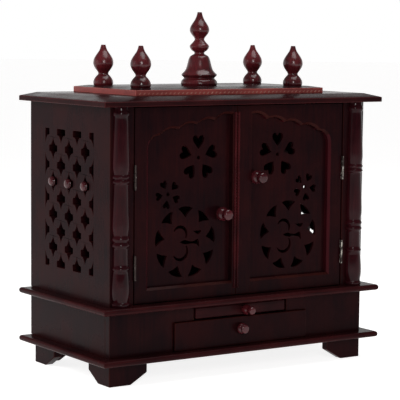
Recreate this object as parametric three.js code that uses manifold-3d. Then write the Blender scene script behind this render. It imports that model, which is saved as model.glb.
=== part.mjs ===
// Household altar cabinet: a carcase on bracket feet with a drawer and a pull-out tray below,
// a shrine with two pierced doors above, and a raised board with turned finials on the roof.
// Millimetres, +X to the right, +Y to the back, +Z up. The origin is on the floor, under the middle.
import * as THREE from "three";
import { mergeVertices } from "three/addons/utils/BufferGeometryUtils.js";
import Module from "manifold-3d";

const wasm = await Module();
wasm.setup();

// Driving dimensions of the carcase
const BODY_WIDTH = 560;
const BODY_DEPTH = 292;
const OVERHANG = 25;
const BOARD = 15;
const BACK_BOARD = 6;

// Heights from the floor up
const FOOT_HEIGHT = 40;
const LEDGE_THICKNESS = 11;
const LEDGE_NOSE = 5;
const BASE_HEIGHT = 80;
const SHRINE_HEIGHT = 351;
const CORNICE_EDGE = 9;
const CORNICE_BEVEL = 7;
const LOWER_LEDGE_Z = FOOT_HEIGHT;
const BASE_Z = LOWER_LEDGE_Z + LEDGE_THICKNESS;
const UPPER_LEDGE_Z = BASE_Z + BASE_HEIGHT;
const SHRINE_Z = UPPER_LEDGE_Z + LEDGE_THICKNESS;
const CORNICE_Z = SHRINE_Z + SHRINE_HEIGHT;
const ROOF_Z = CORNICE_Z + CORNICE_EDGE + CORNICE_BEVEL;

// The tray knob reaches furthest forward, and the middle of the whole depth is y = 0
const TRAY_KNOB_LENGTH = 31;
const TRAY_KNOB_RADIUS = 9.5;
const TRAY_KNOB_X = 6;
const FORWARD_REACH = TRAY_KNOB_LENGTH;
const BACK_Y = (BODY_DEPTH + FORWARD_REACH) / 2;
const FRONT_Y = BACK_Y - BODY_DEPTH;
const MIDDLE_Y = (FRONT_Y + BACK_Y) / 2;
const SIDE_X = BODY_WIDTH / 2;
const INNER_X = SIDE_X - BOARD;

// Bracket feet
const FOOT_BOARD = 16;
const FOOT_LONG = 78;
const FOOT_DEEP = 74;
const FOOT_CHAMFER_HEIGHT = 20;
const FOOT_CHAMFER_RUN = 34;
const BACK_FOOT_INSET = 17;

// Drawer and pull-out tray
const DRAWER_WIDTH = 296;
const DRAWER_TOP_Z = 104;
const SLOT_WIDTH = 208;
const TRAY_PLAY = 5;
const SLOT_TOP_Z = 128;
const DRAWER_GAP = 1;
const DRAWER_PROUD = 5;
const DRAWER_KNOB = { x: -4, z: 82, length: 18, radius: 10.5 };
const DRAWER_SIDE = 9;
const DRAWER_BOTTOM = 5;
const DRAWER_FRONT = 16;
const DRAWER_DEPTH = 250;
const TRAY_THICKNESS = 21.5;
const TRAY_ROUND = 3;
const TRAY_REST = 1.5;
const DRAWER_HEADROOM = 0.5;
const TRAY_DEPTH = 240;
const RUNNER = 12;
const TUB_TOP = DRAWER_TOP_Z - RUNNER;

// Doors
const STILE_INNER_X = 232;
const STILE_THICKNESS = 18;
const DOOR_Z = SHRINE_Z + 2;
const DOOR_TOP_Z = CORNICE_Z - 3;
const DOOR_FRAME = 12;
const DOOR_PANEL = 6;
const DOOR_SETBACK = 1;
const DOOR_OUTER_X = 229;
const SEAM_X = -12;
const SEAM_GAP = 1.2;
const RECESS_INNER_X = 20.5;
const RECESS_OUTER_X = 200;
const RECESS_Z = 170;
const DOOR_FACE_Y = FRONT_Y + DOOR_SETBACK;
const PANEL_Y = DOOR_FACE_Y + DOOR_FRAME;

// The cusped arch over both doors
const ARCH_INNER_Z = 474;
const CUSP_X = 58;
const CUSP_STEP = 39;
const CUSP_COUNT = 4;
const CUSP_Z = 464;
const CUSP_FALL = 5.5;
const CUSP_FALL_GROWTH = 0.75;
const ARCH_OUTER_Z = 412;
const LOBE_RISE = 6;
const LAST_LOBE_RISE = 9;
const LOBE_STEPS = 4;

// Twin beads on the meeting edges
const BEAD_WIDTH = 5.5;
const BEAD_RISE = 3.5;
const BEAD_SHOULDER = 2.1;
const BEAD_ROUND = 1.4;
const BEAD_Z = 157;
const BEAD_TOP_Z = 479;

// Hinges
const HINGE_HEIGHT = 44;
const HINGE_RADIUS = 2.5;
const HINGE_LEAF = 1;
const HINGE_LEAF_DEPTH = 14;
const HINGE_X = 230.5;
const HINGE_Y = FRONT_Y - 2.6;
const HINGE_Z = [208, 368];
const HINGE_CLEARANCE = 0.4;
const HINGE_SIDES = 8;
const KNUCKLE_ROOM = 3;

// Knobs
const DOOR_KNOB_LENGTH = 34;
const DOOR_KNOB_RADIUS = 13;
const KNOB_SIDES = 10;
const DOOR_KNOB = { left: { x: -42, z: 294 }, right: { x: 34, z: 358 } };

// Pierced lattice in the side panels
const LATTICE_PITCH_Y = 59;
const LATTICE_PITCH_Z = 30.25;
const LATTICE_Z = 196.5;
const LATTICE_ROWS = 8;
const LATTICE_HALF_WIDTH = 1.5 * LATTICE_PITCH_Y;
const STUD_ROW = 5;
const STUD_COUNT = 3;
const STUD_SIDES = 8;
const STUD_PROFILE = [[0, 0], [8.5, 0], [9, 3], [7, 6.5], [0, 8]];

// Pierced ornament in the doors, measured from the middle of the pair
const FLOWER = { x: 88, z: 397.5, petalRadius: 28, petalSize: 12.5, eye: 4 };
const BLOSSOM = { x: 152.5, z: 334, petalRadius: 18.5, petalSize: 7, eye: 4, turn: 63 };
const PETALS = 5;
const EYE_SIDES = 6;
const RING = { x: 115, z: 246, radius: 54, teeth: 9, toothWidth: 31, toothHeight: 17 };

// The sign inside the ring, from the ring's middle: two bows, a tail with a forked end and a small mark
const STROKE = 6;
const STROKE_END = 0.35;
const STROKE_STEPS = 7;
const UPPER_BOW = { x: -11.5, z: 14, radius: 14, from: 152, to: -28 };
const LOWER_BOW = { x: -11, z: -16, radius: 15.5, from: 36, to: -152 };
const TAIL = [
  [-12, 0.5], [-5, 3.4], [0.5, 3.4], [9, 1], [17, 0.6], [26, 4.5], [29.5, 1], [30, -11],
  [26, -5], [17, -3.4], [9, -3.6], [2.5, -4.4], [-6, -2.4],
];
const MARK = [[16, 21], [22, 19], [27, 18.6], [33, 20.5], [34.5, 17.5], [28, 12.5], [21, 16]];

// Columns and roof
const COLUMN_INSET = 21;
const COLUMN_SIDES = 12;
const COLUMN_ROOM = 30;
const ROOF_HALF_WIDTH = 208;
const ROOF_HALF_DEPTH = 112;
const ROOF_EDGE = 10;
const ROOF_BEVEL = 3;
const ROOF_BEVEL_RUN = 20;
const FINIAL_X = 170;
const FINIAL_Y = 66.5;
const FINIAL_SIDES = 12;

const LACQUER = new THREE.MeshStandardMaterial({ color: "#35191a", roughness: 0.35, metalness: 0 });
const TURNED = new THREE.MeshStandardMaterial({ color: "#4a1a1c", roughness: 0.28, metalness: 0 });
const STEEL = new THREE.MeshStandardMaterial({ color: "#b9b4ac", roughness: 0.3, metalness: 1 });
const RAW_BOARD = new THREE.MeshStandardMaterial({ color: "#6b4a38", roughness: 0.7, metalness: 0 });

const cabinet = new THREE.Group();

function piece(name, geometry, material, x = 0, y = 0, z = 0) {
  const mesh = new THREE.Mesh(geometry, material.clone());
  mesh.name = name;
  mesh.position.set(x, y, z);
  cabinet.add(mesh);
  return mesh;
}

function box(name, material, x0, x1, y0, y1, z0, z1) {
  const geometry = new THREE.BoxGeometry(x1 - x0, y1 - y0, z1 - z0);
  return piece(name, geometry, material, (x0 + x1) / 2, (y0 + y1) / 2, (z0 + z1) / 2);
}

// Turns a closed geometry into a solid for cutting and joining, and back
function solid(geometry) {
  const bare = geometry.index ? geometry.toNonIndexed() : geometry.clone();
  bare.deleteAttribute("normal");
  bare.deleteAttribute("uv");
  const merged = mergeVertices(bare, 1e-4);
  const mesh = new wasm.Mesh({
    numProp: 3,
    vertProperties: new Float32Array(merged.attributes.position.array),
    triVerts: new Uint32Array(merged.index.array),
  });
  mesh.merge();
  return new wasm.Manifold(mesh);
}

function geometryOf(manifold) {
  const mesh = manifold.getMesh();
  const geometry = new THREE.BufferGeometry();
  geometry.setAttribute("position", new THREE.BufferAttribute(mesh.vertProperties, 3));
  geometry.setIndex(new THREE.BufferAttribute(mesh.triVerts, 1));
  return geometry;
}

function boxSolid(x0, x1, y0, y1, z0, z1) {
  const geometry = new THREE.BoxGeometry(x1 - x0, y1 - y0, z1 - z0);
  geometry.translate((x0 + x1) / 2, (y0 + y1) / 2, (z0 + z1) / 2);
  return solid(geometry);
}

function pierced(board, cutters) {
  return cutters.reduce((rest, cutter) => rest.subtract(cutter), board);
}

function outline(points) {
  return new THREE.Shape(points.map(([a, b]) => new THREE.Vector2(a, b)));
}

// A plate standing across the cabinet: outline in x and z, thick from y to y + thickness
function uprightPlate(shape, y, thickness) {
  const geometry = new THREE.ExtrudeGeometry(shape, { depth: thickness, bevelEnabled: false });
  geometry.rotateX(Math.PI / 2);
  geometry.translate(0, y + thickness, 0);
  return geometry;
}

// A plate standing from front to back: outline in y and z, thick from x to x + thickness
function sidePlate(shape, x, thickness) {
  const geometry = new THREE.ExtrudeGeometry(shape, { depth: thickness, bevelEnabled: false });
  const turn = new THREE.Matrix4().makeBasis(
    new THREE.Vector3(0, 1, 0),
    new THREE.Vector3(0, 0, 1),
    new THREE.Vector3(1, 0, 0),
  );
  geometry.applyMatrix4(turn);
  geometry.translate(x, 0, 0);
  return geometry;
}

// A turned piece on the Z axis from a list of radius and height
function turned(profile, sides) {
  const geometry = new THREE.LatheGeometry(
    profile.map(([r, h]) => new THREE.Vector2(r, h)),
    sides,
  );
  geometry.rotateX(Math.PI / 2);
  return geometry;
}

// A board with a rounded nose on every edge, its lower face at z = 0
function nosedBoard(x0, x1, y0, y1, thickness, nose) {
  const shape = outline([
    [x0 + nose, y0 + nose],
    [x1 - nose, y0 + nose],
    [x1 - nose, y1 - nose],
    [x0 + nose, y1 - nose],
  ]);
  const geometry = new THREE.ExtrudeGeometry(shape, {
    depth: thickness - 2 * nose,
    bevelThickness: nose,
    bevelSize: nose,
    bevelSegments: 4,
  });
  geometry.translate(0, 0, nose);
  return geometry;
}

// A board whose upper face falls to a thinner square edge, like a low hipped roof
function hippedBoard(x0, x1, y0, y1, edge, bevel, run, backRun) {
  const lower = [[x0, y0], [x1, y0], [x1, y1], [x0, y1]];
  const upper = [[x0 + run, y0 + run], [x1 - run, y0 + run], [x1 - run, y1 - backRun], [x0 + run, y1 - backRun]];
  const rings = [
    lower.map(([x, y]) => [x, y, 0]),
    lower.map(([x, y]) => [x, y, edge]),
    upper.map(([x, y]) => [x, y, edge + bevel]),
  ];
  const points = rings.flat(2);
  const index = [0, 2, 1, 0, 3, 2, 8, 9, 10, 8, 10, 11];
  for (let ring = 0; ring < 2; ring += 1) {
    for (let side = 0; side < 4; side += 1) {
      const a = ring * 4 + side;
      const b = ring * 4 + ((side + 1) % 4);
      index.push(a, b, b + 4, a, b + 4, a + 4);
    }
  }
  const geometry = new THREE.BufferGeometry();
  geometry.setAttribute("position", new THREE.Float32BufferAttribute(points, 3));
  geometry.setIndex(index);
  return geometry;
}

// An L-shaped bracket foot, with its outer corner at the origin, running along +X and +Y
function bracketFoot() {
  const chamfered = (length) => outline([
    [0, 0],
    [length - FOOT_CHAMFER_RUN, 0],
    [length, FOOT_CHAMFER_HEIGHT],
    [length, FOOT_HEIGHT],
    [0, FOOT_HEIGHT],
  ]);
  const front = solid(uprightPlate(chamfered(FOOT_LONG), 0, FOOT_BOARD));
  const side = solid(sidePlate(chamfered(FOOT_DEEP), 0, FOOT_BOARD));
  return front.add(side);
}

function feet() {
  for (const [row, y, alongY] of [["front", FRONT_Y, 1], ["back", BACK_Y - BACK_FOOT_INSET, -1]]) {
    for (const [side, x, alongX] of [["left", -SIDE_X, 1], ["right", SIDE_X, -1]]) {
      const foot = geometryOf(bracketFoot().scale([alongX, alongY, 1]));
      piece(`foot_${row}_${side}`, foot, LACQUER, x, y, 0);
    }
  }
}

function ledges() {
  const board = () => nosedBoard(
    -SIDE_X - OVERHANG, SIDE_X + OVERHANG, FRONT_Y - OVERHANG, BACK_Y, LEDGE_THICKNESS, LEDGE_NOSE,
  );
  piece("lower_ledge", board(), LACQUER, 0, 0, LOWER_LEDGE_Z);
  piece("upper_ledge", board(), LACQUER, 0, 0, UPPER_LEDGE_Z);
}

function baseBox() {
  const top = UPPER_LEDGE_Z;
  box("base_side_left", LACQUER, -SIDE_X, -INNER_X, FRONT_Y + BOARD, BACK_Y, BASE_Z, top);
  box("base_side_right", LACQUER, INNER_X, SIDE_X, FRONT_Y + BOARD, BACK_Y, BASE_Z, top);
  box("base_back", LACQUER, -INNER_X, INNER_X, BACK_Y - BACK_BOARD, BACK_Y, BASE_Z, top);
  const drawerX = DRAWER_WIDTH / 2;
  const slotX = SLOT_WIDTH / 2;
  const front = outline([
    [-SIDE_X, BASE_Z], [-drawerX, BASE_Z], [-drawerX, DRAWER_TOP_Z], [-slotX, DRAWER_TOP_Z],
    [-slotX, SLOT_TOP_Z], [slotX, SLOT_TOP_Z], [slotX, DRAWER_TOP_Z], [drawerX, DRAWER_TOP_Z],
    [drawerX, BASE_Z], [SIDE_X, BASE_Z], [SIDE_X, top], [-SIDE_X, top],
  ]);
  piece("base_front", uprightPlate(front, FRONT_Y, BOARD), LACQUER);
}

// Hidden strips that guide the drawer on the lower ledge and carry the tray under the upper ledge
function runners() {
  const y0 = FRONT_Y + BOARD;
  const y1 = BACK_Y - BACK_BOARD;
  const drawerX = DRAWER_WIDTH / 2;
  const trayX = SLOT_WIDTH / 2;
  for (const [side, sign] of [["left", -1], ["right", 1]]) {
    const guide = [sign * drawerX, sign * (drawerX + RUNNER)].sort((a, b) => a - b);
    box(`drawer_guide_${side}`, RAW_BOARD, guide[0], guide[1], y0, y1, BASE_Z, BASE_Z + 2 * RUNNER);
    const under = DRAWER_TOP_Z - DRAWER_HEADROOM - RUNNER / 2;
    const shelf = DRAWER_TOP_Z + TRAY_REST - DRAWER_HEADROOM;
    const runner = outline([
      [trayX - RUNNER, under], [trayX + RUNNER, under], [trayX + RUNNER, UPPER_LEDGE_Z],
      [trayX, UPPER_LEDGE_Z], [trayX, shelf], [trayX - RUNNER, shelf],
    ]);
    const rail = solid(uprightPlate(runner, y0, y1 - y0)).scale([sign, 1, 1]);
    piece(`tray_runner_${side}`, geometryOf(rail), RAW_BOARD);
  }
}

const KNOB_PROFILE = [
  [0, 0], [8.5, 0], [9, 2], [12, 6], [13, 11], [11.8, 16], [8, 21], [7.6, 23],
  [10, 26], [10, 31], [8, 34], [0, 34],
];

// A turned knob of a given length and greatest radius, pointing forward from its seat at y
function knob(name, x, y, z, length, radius) {
  const stretch = length / DOOR_KNOB_LENGTH;
  const widen = radius / DOOR_KNOB_RADIUS;
  const geometry = turned(KNOB_PROFILE.map(([r, h]) => [r * widen, h * stretch]), KNOB_SIDES);
  geometry.rotateX(Math.PI / 2);
  piece(name, geometry, TURNED, x, y, z);
}

function drawer() {
  const x = DRAWER_WIDTH / 2 - DRAWER_GAP;
  const z0 = BASE_Z + DRAWER_GAP;
  const z1 = DRAWER_TOP_Z - DRAWER_HEADROOM;
  const frontY = FRONT_Y - DRAWER_PROUD;
  box("drawer_front", LACQUER, -x, x, frontY, frontY + DRAWER_FRONT, z0, z1);
  knob("drawer_knob", DRAWER_KNOB.x, frontY, DRAWER_KNOB.z, DRAWER_KNOB.length, DRAWER_KNOB.radius);
  const y0 = frontY + DRAWER_FRONT;
  const y1 = y0 + DRAWER_DEPTH;
  const hollow = boxSolid(-x + DRAWER_SIDE, x - DRAWER_SIDE, y0 + DRAWER_SIDE, y1 - DRAWER_SIDE,
    z0 + DRAWER_BOTTOM, TUB_TOP + 1);
  const tub = boxSolid(-x, x, y0, y1, z0, TUB_TOP).subtract(hollow);
  piece("drawer_box", geometryOf(tub), RAW_BOARD);
}

function tray() {
  const x = SLOT_WIDTH / 2 - TRAY_PLAY;
  const z0 = DRAWER_TOP_Z + TRAY_REST;
  const board = nosedBoard(-x, x, FRONT_Y, FRONT_Y + TRAY_DEPTH, TRAY_THICKNESS, TRAY_ROUND);
  piece("tray_board", board, LACQUER, 0, 0, z0);
  knob("tray_knob", TRAY_KNOB_X, FRONT_Y, z0 + TRAY_THICKNESS / 2, TRAY_KNOB_LENGTH, TRAY_KNOB_RADIUS);
}

// One lattice opening: a blunt bar across with a long thin point above and below
const CROSS_BAR = 6;
const CROSS = [[0, 19.5], [7.5, CROSS_BAR + 1.5], [15, CROSS_BAR], [15, -CROSS_BAR], [7.5, -CROSS_BAR - 1.5]];
const CROSS_OUTLINE = [...CROSS, ...CROSS.map(([a, b]) => [-a, -b])];

// Keeps the part of an outline on one side of a straight line across the given axis
function clipHalf(points, keep, limit, axis) {
  const side = (p) => (p[axis] - limit) * keep;
  const out = [];
  points.forEach((current, i) => {
    const next = points[(i + 1) % points.length];
    if (side(current) > -1e-6) out.push(current);
    if (Math.min(side(current), side(next)) < -1e-6 && Math.max(side(current), side(next)) > 1e-6) {
      const t = (limit - current[axis]) / (next[axis] - current[axis]);
      out.push([0, 1].map((k) => current[k] + t * (next[k] - current[k])));
    }
  });
  return out;
}

// The openings stand in staggered rows, and the window's edges cut the outer ones short
function latticeHoles() {
  const holes = [];
  const bottom = LATTICE_Z - CROSS_BAR;
  const top = LATTICE_Z + LATTICE_ROWS * LATTICE_PITCH_Z + CROSS_BAR;
  for (let row = 0; row <= LATTICE_ROWS; row += 1) {
    const shifted = row % 2 === 0;
    const count = shifted ? 4 : 3;
    for (let column = 0; column < count; column += 1) {
      const y = MIDDLE_Y + (column - (count - 1) / 2) * LATTICE_PITCH_Y;
      const z = LATTICE_Z + row * LATTICE_PITCH_Z;
      let points = CROSS_OUTLINE.map(([a, b]) => [y + a, z + b]);
      if (shifted && column === 0) points = clipHalf(points, 1, MIDDLE_Y - LATTICE_HALF_WIDTH, 0);
      if (shifted && column === 3) points = clipHalf(points, -1, MIDDLE_Y + LATTICE_HALF_WIDTH, 0);
      if (row === 0) points = clipHalf(points, 1, bottom, 1);
      if (row === LATTICE_ROWS) points = clipHalf(points, -1, top, 1);
      holes.push(points);
    }
  }
  return holes;
}

function sidePanels() {
  for (const [side, x, outward] of [["left", -SIDE_X, -1], ["right", INNER_X, 1]]) {
    const board = boxSolid(x, x + BOARD, FRONT_Y, BACK_Y, SHRINE_Z, CORNICE_Z);
    const cutters = latticeHoles().map((points) => solid(sidePlate(outline(points), x - 1, BOARD + 2)));
    piece(`side_panel_${side}`, geometryOf(pierced(board, cutters)), LACQUER);
    const studZ = LATTICE_Z + STUD_ROW * LATTICE_PITCH_Z;
    for (let i = 0; i < STUD_COUNT; i += 1) {
      const stud = turned(STUD_PROFILE, STUD_SIDES);
      stud.rotateY((outward * Math.PI) / 2);
      const faceX = outward * SIDE_X;
      piece(`side_stud_${side}_${i + 1}`, stud, TURNED, faceX, MIDDLE_Y + (i - 1) * LATTICE_PITCH_Y, studZ);
    }
  }
}

function shrineCarcase() {
  box("back_panel", LACQUER, -INNER_X, INNER_X, BACK_Y - BACK_BOARD, BACK_Y, SHRINE_Z, CORNICE_Z);
  for (const [side, sign] of [["left", -1], ["right", 1]]) {
    const edge = [sign * STILE_INNER_X, sign * INNER_X].sort((a, b) => a - b);
    box(`front_stile_${side}`, LACQUER, edge[0], edge[1], FRONT_Y, FRONT_Y + STILE_THICKNESS, SHRINE_Z, CORNICE_Z);
  }
}

// Half-round turned column: radius and height above the upper ledge, bead by bead
const COLUMN_PROFILE = [
  [0, 0], [16.5, 0], [17.5, 2], [17.5, 7], [15.5, 9.5], [17.4, 24], [17.2, 40], [15.2, 66],
  [17, 69], [15, 72.5], [14.6, 104], [17, 107.5], [17, 112.5], [15, 115.5], [17, 118.5],
  [17, 123.5], [15, 126], [16.6, 140], [16.3, 158], [14.6, 205], [14.6, 216], [17, 218.5],
  [17, 222.5], [15, 224.5], [17, 226.5], [17, 230.5], [15, 233], [16.6, 246], [16.3, 264],
  [14.1, 322], [14, 332], [16, 336], [16, 342], [14, 346], [14, SHRINE_HEIGHT], [0, SHRINE_HEIGHT],
];

function columns() {
  for (const [side, sign] of [["left", -1], ["right", 1]]) {
    const x = sign * (SIDE_X - COLUMN_INSET);
    const full = solid(turned(COLUMN_PROFILE, COLUMN_SIDES)).translate([x, FRONT_Y, SHRINE_Z]);
    const front = boxSolid(x - COLUMN_ROOM, x + COLUMN_ROOM, FRONT_Y - COLUMN_ROOM, FRONT_Y,
      SHRINE_Z - 1, CORNICE_Z + 1);
    piece(`column_${side}`, geometryOf(full.intersect(front)), TURNED);
  }
}

// An arc of a few points from a to b that bows out to the left of the way, without its first point
function bow(a, b, rise, steps) {
  const chord = Math.hypot(b[0] - a[0], b[1] - a[1]);
  const normal = [-(b[1] - a[1]) / chord, (b[0] - a[0]) / chord];
  return Array.from({ length: steps }, (_, i) => {
    const t = (i + 1) / steps;
    const lift = 4 * rise * t * (1 - t);
    return [0, 1].map((k) => a[k] + t * (b[k] - a[k]) + lift * normal[k]);
  });
}

// The opening's cusped head, from the meeting edge outward, for the right-hand door
function archPoints() {
  const knots = [[RECESS_INNER_X, ARCH_INNER_Z]];
  for (let i = 0; i < CUSP_COUNT; i += 1) {
    knots.push([CUSP_X + i * CUSP_STEP, CUSP_Z - CUSP_FALL * i - CUSP_FALL_GROWTH * i * i]);
  }
  knots.push([RECESS_OUTER_X, ARCH_OUTER_Z]);
  const points = [knots[0]];
  for (let i = 1; i < knots.length; i += 1) {
    const rise = i === knots.length - 1 ? LAST_LOBE_RISE : LOBE_RISE;
    points.push(...bow(knots[i - 1], knots[i], rise, LOBE_STEPS));
  }
  return points;
}

function heart(cx, cz, size, angle) {
  const profile = [[0, -1], [0.75, -0.1], [1, 0.5], [0.6, 1], [0.1, 0.55]];
  const whole = [...profile, ...profile.slice(1).reverse().map(([a, b]) => [-a, b])];
  return whole.map(([a, b]) => {
    const turn = angle - Math.PI / 2;
    return [
      cx + size * (a * Math.cos(turn) - b * Math.sin(turn)),
      cz + size * (a * Math.sin(turn) + b * Math.cos(turn)),
    ];
  });
}

function roundHole(cx, cz, radius, sides) {
  return Array.from({ length: sides }, (_, i) => {
    const angle = (2 * Math.PI * i) / sides;
    return [cx + radius * Math.cos(angle), cz + radius * Math.sin(angle)];
  });
}

// Five petals around an eye
function flowerHoles({ x, z, petalRadius, petalSize, eye, turn = 90 }) {
  const holes = [roundHole(x, z, eye, EYE_SIDES)];
  for (let i = 0; i < PETALS; i += 1) {
    const angle = THREE.MathUtils.degToRad(turn + (360 * i) / PETALS);
    holes.push(heart(x + petalRadius * Math.cos(angle), z + petalRadius * Math.sin(angle), petalSize, angle));
  }
  return holes;
}

function toothHoles() {
  return Array.from({ length: RING.teeth }, (_, i) => {
    const angle = Math.PI / 2 + (2 * Math.PI * i) / RING.teeth;
    const half = RING.toothWidth / 2;
    const corners = [[RING.toothHeight / 2, -half], [RING.toothHeight / 2, half], [-RING.toothHeight / 2, 0]];
    return corners.map(([out, along]) => [
      RING.x + (RING.radius + out) * Math.cos(angle) - along * Math.sin(angle),
      RING.z + (RING.radius + out) * Math.sin(angle) + along * Math.cos(angle),
    ]);
  });
}

// A brush stroke along an arc, thin at its ends, with its angles in degrees
function bowStroke(cx, cz, { x, z, radius, from, to }) {
  const side = (sign) => Array.from({ length: STROKE_STEPS + 1 }, (_, i) => {
    const t = i / STROKE_STEPS;
    const angle = THREE.MathUtils.degToRad(from + (to - from) * t);
    const half = (STROKE / 2) * (STROKE_END + (1 - STROKE_END) * Math.sin(Math.PI * t));
    const reach = radius + sign * half;
    return [cx + x + reach * Math.cos(angle), cz + z + reach * Math.sin(angle)];
  });
  return [...side(1), ...side(-1).reverse()];
}

function signHoles(cx, cz) {
  const moved = (points) => points.map(([a, b]) => [cx + a, cz + b]);
  return [bowStroke(cx, cz, UPPER_BOW), bowStroke(cx, cz, LOWER_BOW), moved(TAIL), moved(MARK)];
}

function mirrored(points) {
  return points.map(([a, b]) => [-a, b]);
}

function door(side, sign) {
  const outer = sign * DOOR_OUTER_X;
  const inner = SEAM_X + (sign * SEAM_GAP) / 2;
  const flip = (points) => (sign > 0 ? points : mirrored(points));
  const span = (a, b) => [Math.min(a, b), Math.max(a, b)];

  const ring = [
    [RECESS_INNER_X, DOOR_Z], [DOOR_OUTER_X, DOOR_Z], [DOOR_OUTER_X, DOOR_TOP_Z], [RECESS_INNER_X, DOOR_TOP_Z],
    ...archPoints(), [RECESS_OUTER_X, RECESS_Z], [RECESS_INNER_X, RECESS_Z],
  ];
  piece(`door_${side}_frame`, uprightPlate(outline(flip(ring)), DOOR_FACE_Y, DOOR_FRAME), LACQUER);

  const [s0, s1] = span(inner, sign * RECESS_INNER_X);
  box(`door_${side}_meeting_stile`, LACQUER, s0, s1, DOOR_FACE_Y, PANEL_Y, DOOR_Z, DOOR_TOP_Z);

  const [p0, p1] = span(inner, outer);
  const panel = boxSolid(p0, p1, PANEL_Y, PANEL_Y + DOOR_PANEL, DOOR_Z, DOOR_TOP_Z);
  const ornament = [...flowerHoles(FLOWER), ...flowerHoles(BLOSSOM), ...toothHoles()].map(flip);
  ornament.push(...signHoles(sign * RING.x, RING.z));
  const cutters = ornament.map((points) => solid(uprightPlate(outline(points), PANEL_Y - 1, DOOR_PANEL + 2)));
  piece(`door_${side}_panel`, geometryOf(pierced(panel, cutters)), LACQUER);

  const [b0, b1] = span(inner, inner + sign * BEAD_WIDTH);
  const bead = new THREE.ExtrudeGeometry(outline([
    [b0, DOOR_FACE_Y], [b0, DOOR_FACE_Y - BEAD_SHOULDER], [b0 + BEAD_ROUND, DOOR_FACE_Y - BEAD_RISE],
    [b1 - BEAD_ROUND, DOOR_FACE_Y - BEAD_RISE], [b1, DOOR_FACE_Y - BEAD_SHOULDER], [b1, DOOR_FACE_Y],
  ]), { depth: BEAD_TOP_Z - BEAD_Z, bevelEnabled: false });
  piece(`door_${side}_bead`, bead, TURNED, 0, 0, BEAD_Z);

  const { x, z } = DOOR_KNOB[side];
  knob(`door_${side}_knob`, x, PANEL_Y, z, DOOR_KNOB_LENGTH, DOOR_KNOB_RADIUS);
  hinges(side, sign);
}

function knuckle(x, z0, z1) {
  const barrel = new THREE.CylinderGeometry(HINGE_RADIUS, HINGE_RADIUS, z1 - z0, HINGE_SIDES);
  barrel.rotateX(Math.PI / 2);
  barrel.translate(x, HINGE_Y, (z0 + z1) / 2);
  return solid(barrel);
}

// Butt hinges: the carcase leaf carries the outer knuckles and the door leaf the middle one
function hinges(side, sign) {
  const x = sign * HINGE_X;
  HINGE_Z.forEach((middle, i) => {
    const z0 = middle - HINGE_HEIGHT / 2;
    const z1 = middle + HINGE_HEIGHT / 2;
    const third = HINGE_HEIGHT / 6;
    const leaf = (from, to, low, high) => {
      const [a, b] = [sign * from, sign * to].sort((p, q) => p - q);
      return boxSolid(a, b, HINGE_Y, FRONT_Y + HINGE_LEAF_DEPTH, low, high);
    };
    const low = middle - third;
    const high = middle + third;
    const around = (from, to) => boxSolid(x - KNUCKLE_ROOM, x + KNUCKLE_ROOM,
      HINGE_Y - KNUCKLE_ROOM, HINGE_Y + KNUCKLE_ROOM, from, to);
    const fixed = leaf(STILE_INNER_X - HINGE_LEAF, STILE_INNER_X, z0, z1)
      .add(knuckle(x, z0, z1)).subtract(around(low - HINGE_CLEARANCE, high + HINGE_CLEARANCE));
    const moving = leaf(DOOR_OUTER_X, DOOR_OUTER_X + HINGE_LEAF, z0, z1)
      .subtract(around(z0 - 1, low)).subtract(around(high, z1 + 1)).add(knuckle(x, low, high));
    piece(`hinge_${side}_${i + 1}_fixed_leaf`, geometryOf(fixed), STEEL);
    piece(`hinge_${side}_${i + 1}_door_leaf`, geometryOf(moving), STEEL);
  });
}

function roof() {
  const reach = SIDE_X + OVERHANG;
  const cornice = hippedBoard(-reach, reach, FRONT_Y - OVERHANG, BACK_Y,
    CORNICE_EDGE, CORNICE_BEVEL, OVERHANG, OVERHANG);
  piece("cornice", cornice, LACQUER, 0, 0, CORNICE_Z);
  const raised = hippedBoard(-ROOF_HALF_WIDTH, ROOF_HALF_WIDTH, -ROOF_HALF_DEPTH, ROOF_HALF_DEPTH,
    ROOF_EDGE, ROOF_BEVEL, ROOF_BEVEL_RUN, ROOF_BEVEL_RUN);
  piece("raised_board", raised, LACQUER, 0, MIDDLE_Y, ROOF_Z);
}

const SMALL_FINIAL = [
  [0, 0], [17.5, 0], [18.5, 3], [17.5, 11], [14, 16], [9.7, 22], [11, 26], [15.8, 33],
  [18.7, 42], [17.4, 49], [11, 59.5], [7, 65.5], [5, 71], [4.2, 75], [0, 75],
];

const CENTRAL_FINIAL = [
  [0, 0], [33.5, 0], [34.7, 4], [33.5, 10], [29.5, 13.5], [30, 16.5], [33.3, 20], [31.5, 27],
  [23, 38], [17.5, 48], [17, 56], [12, 59], [16.5, 64], [18, 68], [16.4, 71], [18, 74], [15, 79],
  [8.8, 86], [13, 93], [18.1, 105], [16.6, 112], [9.5, 121], [5.6, 130], [4.2, 137], [0, 137],
];

function finials() {
  const z = ROOF_Z + ROOF_EDGE + ROOF_BEVEL;
  for (const [row, y] of [["front", MIDDLE_Y - FINIAL_Y], ["back", MIDDLE_Y + FINIAL_Y]]) {
    for (const [side, x] of [["left", -FINIAL_X], ["right", FINIAL_X]]) {
      piece(`finial_${row}_${side}`, turned(SMALL_FINIAL, FINIAL_SIDES), TURNED, x, y, z);
    }
  }
  piece("finial_centre", turned(CENTRAL_FINIAL, FINIAL_SIDES + 4), TURNED, 0, MIDDLE_Y, z);
}

feet();
ledges();
baseBox();
runners();
drawer();
tray();
sidePanels();
shrineCarcase();
columns();
door("left", -1);
door("right", 1);
roof();
finials();

export default cabinet;
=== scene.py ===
"""Household altar cabinet in dark mahogany lacquer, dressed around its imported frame."""

import math

import bmesh
import bpy
from mathutils import Matrix, Vector


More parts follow.
